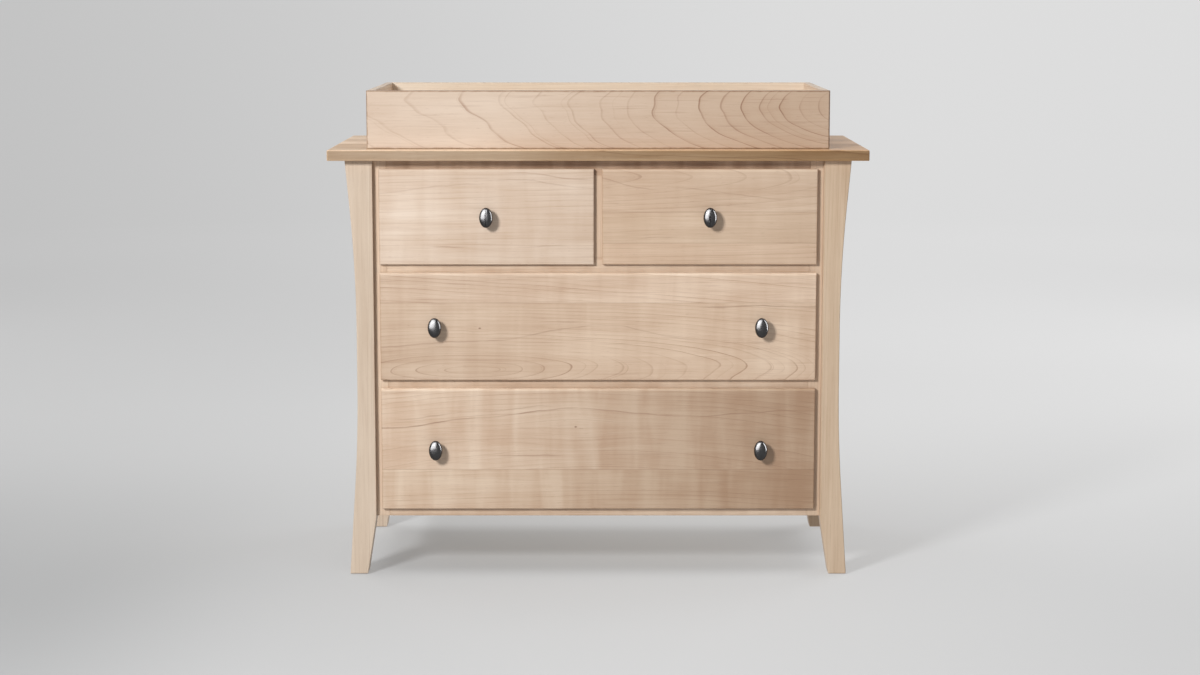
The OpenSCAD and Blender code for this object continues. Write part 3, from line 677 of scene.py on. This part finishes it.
board("drawer_bottom_front", "XZY", seams=(-0.042,), staves=((0, 1.0, 0), (0, 0, 0)),
      tones=((0.96, 0.95, 0.93), (1.0, 1.0, 1.0)), knots=((-0.045, 0.045, 2.2 * MM, 0.085),),
      veins=((-0.45, -0.04, 0.044, 0.082, 0.6), (-0.04, 0.12, 0.082, 0.070, 0.5),
             (0.12, 0.45, 0.070, 0.077, 0.45), (-0.40, -0.10, 0.062, 0.088, 0.3),
             (-0.19, -0.08, -0.012, -0.014, 0.4)),
      seed=37.0, pith_across=-0.22, pith_depth=0.02, tilt=0.3, spacing=0.0095, warp=0.012,
      lines=0.5, curl=1.35, blotch=1.0, streak=0.8, crest=1.35,
      pale=(219, 197, 175), tan=(199, 170, 145), brown=(132, 92, 68), shade=(0.66, 0.58, 0.51))
for drawer in DRAWERS:
    ease(drawer + "_front", 2.2 * MM, shares=(1, 0.6, 0.9), segments=4)

LEFT_LEG = dict(pale=(212, 193, 173), tan=(192, 170, 148), brown=(146, 110, 84), shade=(0.90, 0.89, 0.88))
RIGHT_LEG = dict(pale=(210, 186, 160), tan=(190, 162, 134), brown=(146, 108, 80))
for i, name in enumerate(["leg_front_left", "leg_front_right", "leg_rear_left", "leg_rear_right"]):
    board(name, "ZXY", seed=41.0 + 3 * i, pith_across=0.06, pith_depth=0.04, tilt=0.035, spacing=0.007,
          lines=0.5, curl=0.1, **(RIGHT_LEG if name.endswith("right") else LEFT_LEG))
    ease(name, 1.8 * MM)

for i, name in enumerate(["stile_left", "stile_right", "centre_stile"]):
    board(name, "ZXY", seed=53.0 + 3 * i, pith_across=0.1, pith_depth=0.05, spacing=0.006,
          lines=0.4, curl=0.1, edge=0.2, pale=(216, 192, 168), tan=(196, 168, 142), brown=(140, 104, 76))
    ease(name, 0.5 * MM, segments=2)

# The top rail's pale and tan are darker than the other rails': a painted shade for the shadow under the
# top. Its stronger curl and blotch are its own figure.
TOP_RAIL_FIGURE_AND_PAINTED_SHADE = dict(curl=1.8, blotch=1.8, pale=(190, 161, 136), tan=(150, 119, 94))
OTHER_RAIL = dict(curl=0.9, blotch=0.9, pale=(214, 190, 166), tan=(190, 160, 134))
for i, name in enumerate(["top_rail", "upper_rail", "lower_rail", "bottom_rail"]):
    board(name, "XZY", seed=62.0 + 3 * i, pith_across=0.05, pith_depth=0.05, tilt=0.02, spacing=0.006,
          lines=0.4, edge=0.2, brown=(130, 94, 68), **(TOP_RAIL_FIGURE_AND_PAINTED_SHADE if name == "top_rail" else OTHER_RAIL))
    ease(name, 0.5 * MM, segments=2)

for i, name in enumerate(["side_panel_left", "side_panel_right"]):
    board(name, "ZYX", seams=(-0.105, -0.01, 0.09),
          staves=((0, 0, 0), (1.7, 0.1, 0.02), (3.6, -0.1, 0.0), (5.1, 0.02, 0.03)),
          tones=((1, 1, 1), (0.96, 0.95, 0.94), (1.03, 1.03, 1.03), (0.98, 0.97, 0.96)),
          seed=75.0 + 4 * i, pith_across=0.02, pith_depth=0.03, tilt=0.03, spacing=0.010, warp=0.009,
          lines=0.7, curl=0.2, blotch=0.9, **MAPLE)
    ease(name, 0.8 * MM, segments=2)
for i, (name, axes) in enumerate([("back_rails", "XZY"), ("centre_divider", "YZX")]):
    board(name, axes, seed=84.0 + 3 * i, pith_depth=0.04, lines=0.5, **MAPLE)
    ease(name, 0.8 * MM, segments=2)

BOX = dict(pale=(233, 213, 186), tan=(214, 188, 156), brown=(164, 126, 92))
for i, drawer in enumerate(DRAWERS):
    for j, (part, axes) in enumerate([("side_left", "YZX"), ("side_right", "YZX"), ("back", "XZY")]):
        name = f"{drawer}_{part}"
        board(name, axes, seed=100.0 + 9 * i + 2 * j, pith_across=0.08 - 0.05 * j, pith_depth=0.03,
              tilt=0.04, spacing=0.009, lines=0.55, roughness=0.5, **BOX)
        ease(name, 0.9 * MM, segments=2)
    name = drawer + "_bottom"
    dress(name, plywood(name, 1.0 + 2 * i))
    ease(name, 0.4 * MM, segments=2)
dress("back_panel", plywood("back_panel", 12.0, "XZY"))
ease("back_panel", 0.4 * MM, segments=2)

BEECH = dict(pale=(206, 166, 124), tan=(184, 140, 98), brown=(128, 84, 54))
board("runner_packers", "YZX", seed=150.0, lines=0.3, spacing=0.006, roughness=0.55, **BEECH)
board("dowels", "XYZ", seed=155.0, lines=0.2, roughness=0.55, edge=0.0, **BEECH)
ease("runner_packers", 0.8 * MM, segments=2)

# ---- Hardware ----

steel, nickel, glide = zinc_steel(), dark_nickel(), nylon()
for name in nodes:
    if name.endswith("runners"):
        dress(name, steel)
        ease(name, 0.35 * MM, segments=2)
for name in ("wall_bracket", "tray_plates"):
    dress(name, steel)
    ease(name, 0.5 * MM, segments=2)
dress("wood_screws", steel)
dress("foot_glides", glide)

# The knob, in millimetres: half the width and height of its egg-shaped head, how far it stands out of the
# drawer front, the depth of the head, and the radius of its neck. Its base, the rose, is round too.
KNOB_W, KNOB_H, KNOB_OUT, HEAD_DEPTH = 13.5, 20.0, 28.0, 19.0
NECK_R, ROSE_R, ROSE_T = 5.0, 8.0, 2.5
DOME_SHARE = 0.52  # of the head's depth, in front of its widest ring
DOME_FULLNESS = 2 / 2.6  # 1 is an ellipse, and less is a flatter dome with a rounder shoulder
HEAD_STEPS = 26
NECK_START = 1.2  # how much wider than the neck the head is where the neck's hollow begins
HOLLOW_DEPTH = 2.4


def knob_rings():
    """Rings from the head's tip inwards, each as (distance out of the front, half width, half height)."""
    rings = []
    front_depth = DOME_SHARE * HEAD_DEPTH
    equator = KNOB_OUT - front_depth
    for i in range(1, HEAD_STEPS + 1):
        turn = math.pi / 2 * i / HEAD_STEPS
        out = equator + front_depth * max(0.0, math.cos(turn)) ** DOME_FULLNESS
        share = math.sin(turn) ** DOME_FULLNESS
        rings.append((out, KNOB_W * share, KNOB_H * share))
    back_depth = HEAD_DEPTH - front_depth
    for i in range(1, HEAD_STEPS):
        turn = math.pi / 2 * i / HEAD_STEPS
        share = math.cos(turn)
        if KNOB_W * share <= NECK_R + NECK_START:
            break
        rings.append((equator - back_depth * math.sin(turn), KNOB_W * share, KNOB_H * share))
    out, width, height = rings[-1]
    for share in (0.35, 0.65, 0.85, 1.0):
        blend = share ** 0.6
        rings.append((out - HOLLOW_DEPTH * share, width + (NECK_R - width) * blend,
                      height + (NECK_R - height) * blend))
    for out, radius in ((ROSE_T + 2.2, NECK_R), (ROSE_T + 0.9, NECK_R + 0.5), (ROSE_T + 0.2, NECK_R + 1.4),
                        (ROSE_T, NECK_R + 1.8), (ROSE_T, ROSE_R - 0.8), (ROSE_T - 0.25, ROSE_R - 0.25),
                        (ROSE_T - 0.8, ROSE_R), (0.0, ROSE_R)):
        rings.append((out, radius, radius))
    return rings


def screw_rings(front_t):
    """The machine screw's pan head inside the drawer, from the front's inner face backwards."""
    radius, profile = 4.0, ((0.0, 1.0), (1.1, 1.0), (1.8, 0.9), (2.15, 0.62))
    return [(-front_t - back, radius * share, radius * share) for back, share in profile]


def loft(mesh, rings, tip, centre, face_y, segments):
    """Skins elliptical rings that stand in the XZ plane, and closes both ends, the first one at tip."""
    loops = []
    for out, half_w, half_h in rings:
        y = face_y - out * MM
        loops.append([mesh.verts.new((centre[0] + half_w * MM * math.cos(2 * math.pi * k / segments), y,
                                      centre[1] + half_h * MM * math.sin(2 * math.pi * k / segments)))
                      for k in range(segments)])
    skin(mesh, loops)
    for loop, out, at_start in ((loops[0], tip, True), (loops[-1], rings[-1][0], False)):
        hub = mesh.verts.new((centre[0], face_y - out * MM, centre[1]))
        for k in range(segments):
            n = (k + 1) % segments
            mesh.faces.new((hub, loop[n], loop[k]) if at_start else (hub, loop[k], loop[n]))


def make_knobs(drawer, cad_node):
    """The knobs of one drawer, with the heads of their screws, in the place of the CAD node."""
    low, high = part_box(cad_node)
    front_low, front_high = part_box(drawer + "_front")
    half = KNOB_W * MM
    front_t = (front_high.y - front_low.y) / MM
    xs = sorted({round(low.x + half, 6), round(high.x - half, 6)})
    mesh = bmesh.new()
    for x in xs:
        centre = (x, (front_low.z + front_high.z) / 2)
        loft(mesh, knob_rings(), KNOB_OUT, centre, front_low.y, segments=72)
        loft(mesh, screw_rings(front_t), -front_t, centre, front_low.y, segments=48)
    bmesh.ops.recalc_face_normals(mesh, faces=mesh.faces)
    piece = link_piece(drawer + "_knob_set", mesh, nickel)
    split = piece.modifiers.new("sharp_rims", "EDGE_SPLIT")
    split.split_angle = math.radians(50)
    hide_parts(cad_node)
    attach(piece, body_of[cad_node])
    return piece


knobs = [make_knobs(drawer, drawer + ("_knob" if "top" in drawer else "_knobs")) for drawer in DRAWERS]


# ---- Stage, light and camera ----

def studio_paper():
    """Matt paper with a faint tooth and a soft glow of its own.

    The glow is painted light. It grows to the back and to the right, and fades at the front left, a painted
    shade, and under the case, a painted shadow of the case, so the floor and the wall shade off as in a
    studio.
    Far out in front it grows as well, so that the wall isn't dark behind the object in views from the back
    and the sides."""
    material, g, shader = new_material("studio_paper")
    place = g.add("ShaderNodeTexCoord").outputs["Object"]
    tone = g.noise(place, (0.5, 0.5, 0.5), 2.0)
    g.put(shader.inputs["Base Color"], g.mix(tone, linear(143, 143, 143), linear(147, 147, 147)))

    x, y, _ = g.split(place)
    out = g.vector("LENGTH", g.join(x, y, 0.0))
    fanned = g.math("DIVIDE", x, g.math("MULTIPLY_ADD", out, 0.22, 1.0))
    # Painted shade at the front left of the floor, and a painted shadow of the case under it: both lower
    # the glow.
    front_left = g.math("MULTIPLY", g.smooth(x, -1.1, -0.55, 1.0, 0.0), g.smooth(y, -0.6, 1.2, 1.0, 0.0))
    in_depth = g.math("MULTIPLY", g.smooth(y, -0.28, -0.16), g.smooth(y, 0.14, 0.24, 1.0, 0.0))
    under_case = g.math("MULTIPLY", in_depth, g.smooth(g.math("ABSOLUTE", x), 0.38, 0.52, 1.0, 0.0))
    in_front = g.smooth(g.math("MULTIPLY_ADD", x, 0.7, y), -3.0, 0.5, 1.0, 0.0)
    ahead = g.math("MULTIPLY", g.smooth(out, 3.5, 7.0), in_front)
    glow = g.total(0.20, (0.155, g.smooth(y, -0.9, 1.9)), (0.12, g.smooth(out, 1.5, 7.0)),
                   (0.19, g.smooth(fanned, -1.5, 0.7)), (-0.09, front_left), (-0.10, under_case),
                   (0.17, ahead))
    g.put(shader.inputs["Emission Strength"], glow)
    shader.inputs["Emission Color"].default_value = (1, 1, 1, 1)
    g.put(shader.inputs["Normal"], g.bump(g.noise(place, (700, 700, 700), 2.0), 0.05 * MM))
    shader.inputs["Roughness"].default_value = 0.9
    shader.inputs["Specular IOR Level"].default_value = 0.1
    return material


FLOOR_R, BEND_R, WALL_H = 7.5, 3.0, 6.0  # the cameras stand up to 6.3 m from the object
STAGE_SEGMENTS, BEND_STEPS = 96, 24


def make_stage():
    """A round floor of paper, and a bend and wall of it that close behind every camera.

    The floor passes light on to the object. The bend and the wall are only a backdrop: they are seen,
    directly and in gloss, but neither light nor shade anything."""
    floor = bmesh.new()
    bmesh.ops.create_circle(floor, cap_ends=True, cap_tris=True, radius=FLOOR_R, segments=STAGE_SEGMENTS)
    line = []
    for i in range(BEND_STEPS + 1):
        turn = math.pi / 2 * i / BEND_STEPS
        line.append((FLOOR_R + BEND_R * math.sin(turn), BEND_R * (1 - math.cos(turn))))
    line.append((FLOOR_R + BEND_R, WALL_H))
    wall = bmesh.new()
    skin(wall, [[wall.verts.new((radius * math.cos(2 * math.pi * k / STAGE_SEGMENTS),
                                 radius * math.sin(2 * math.pi * k / STAGE_SEGMENTS), z))
                 for k in range(STAGE_SEGMENTS)] for radius, z in line])
    paper = studio_paper()
    floor_piece = link_piece("paper_floor", floor, paper)
    wall_piece = link_piece("paper_wall", wall, paper)
    wall_piece.visible_diffuse = wall_piece.visible_shadow = False


def area_light(name, target, azimuth, elevation, distance, size, energy, colour=(1, 1, 1), only=()):
    """A soft box aimed at target, from distance. azimuth is in degrees from the front, positive to the
    right, and energy in watts. It lights everything, or only the pieces given."""
    data = bpy.data.lights.new(name, "AREA")
    data.shape = "RECTANGLE"
    data.size, data.size_y = size
    data.energy = energy
    data.color = colour
    a, e = math.radians(azimuth), math.radians(elevation)
    away = Vector((math.sin(a) * math.cos(e), -math.cos(a) * math.cos(e), math.sin(e)))
    light = bpy.data.objects.new(name, data)
    light.location = Vector(target) + away * distance
    light.rotation_mode = "QUATERNION"
    light.rotation_quaternion = away.to_track_quat("Z", "Y")
    light.visible_camera = False
    if only:
        receivers = bpy.data.collections.new(name + "_receivers")
        for piece in only:
            receivers.objects.link(piece)
        light.light_linking.receiver_collection = receivers
    bpy.context.scene.collection.objects.link(light)


def make_world(colour, strength):
    world = bpy.data.worlds.new("studio_air")
    world.use_nodes = True
    background = world.node_tree.nodes["Background"]
    background.inputs["Color"].default_value = colour
    background.inputs["Strength"].default_value = strength
    bpy.context.scene.world = world


def make_camera():
    """The camera that was fitted to the photo: a little above the top, looking down 8 degrees."""
    top_low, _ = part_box("top")
    side, ahead, height, down = 0.0037, 4.688, 1.1534, 8.095
    data = bpy.data.cameras.new("camera")
    data.sensor_width = 36
    data.lens = 71.565
    camera = bpy.data.objects.new("camera", data)
    camera.location = (side, top_low.y - ahead, height)
    camera.rotation_euler = (math.radians(90 - down), 0, 0)
    bpy.context.scene.collection.objects.link(camera)
    bpy.context.scene.camera = camera


make_stage()
area_light("key", target=(0, 0, 0.5), azimuth=-31, elevation=24, distance=4.2, size=(0.7, 0.7),
           energy=155, colour=(0.965, 0.985, 1.0))
area_light("knob_sheen", target=(0, 0, 0.5), azimuth=-36, elevation=28, distance=3.6, size=(4.8, 4.8),
           energy=1000, only=knobs)
area_light("knob_rim", target=(0, -0.23, 0.5), azimuth=84, elevation=2, distance=2.5, size=(0.6, 4.5),
           energy=260, only=knobs)
area_light("overhead", target=(0, 0.3, 0.4), azimuth=0, elevation=80, distance=3.6, size=(3.5, 3.5),
           energy=64)
for name, azimuth, energy in (("right_fill", 128, 42), ("left_fill", -128, 30)):
    area_light(name, target=(0, 0, 0.4), azimuth=azimuth, elevation=24, distance=4.5, size=(2.5, 1.8),
               energy=energy)
make_world(colour=(0.89, 0.89, 0.89, 1), strength=0.075)
make_camera()
bpy.context.scene.view_settings.view_transform = "Standard"
bpy.context.scene.view_settings.look = "None"
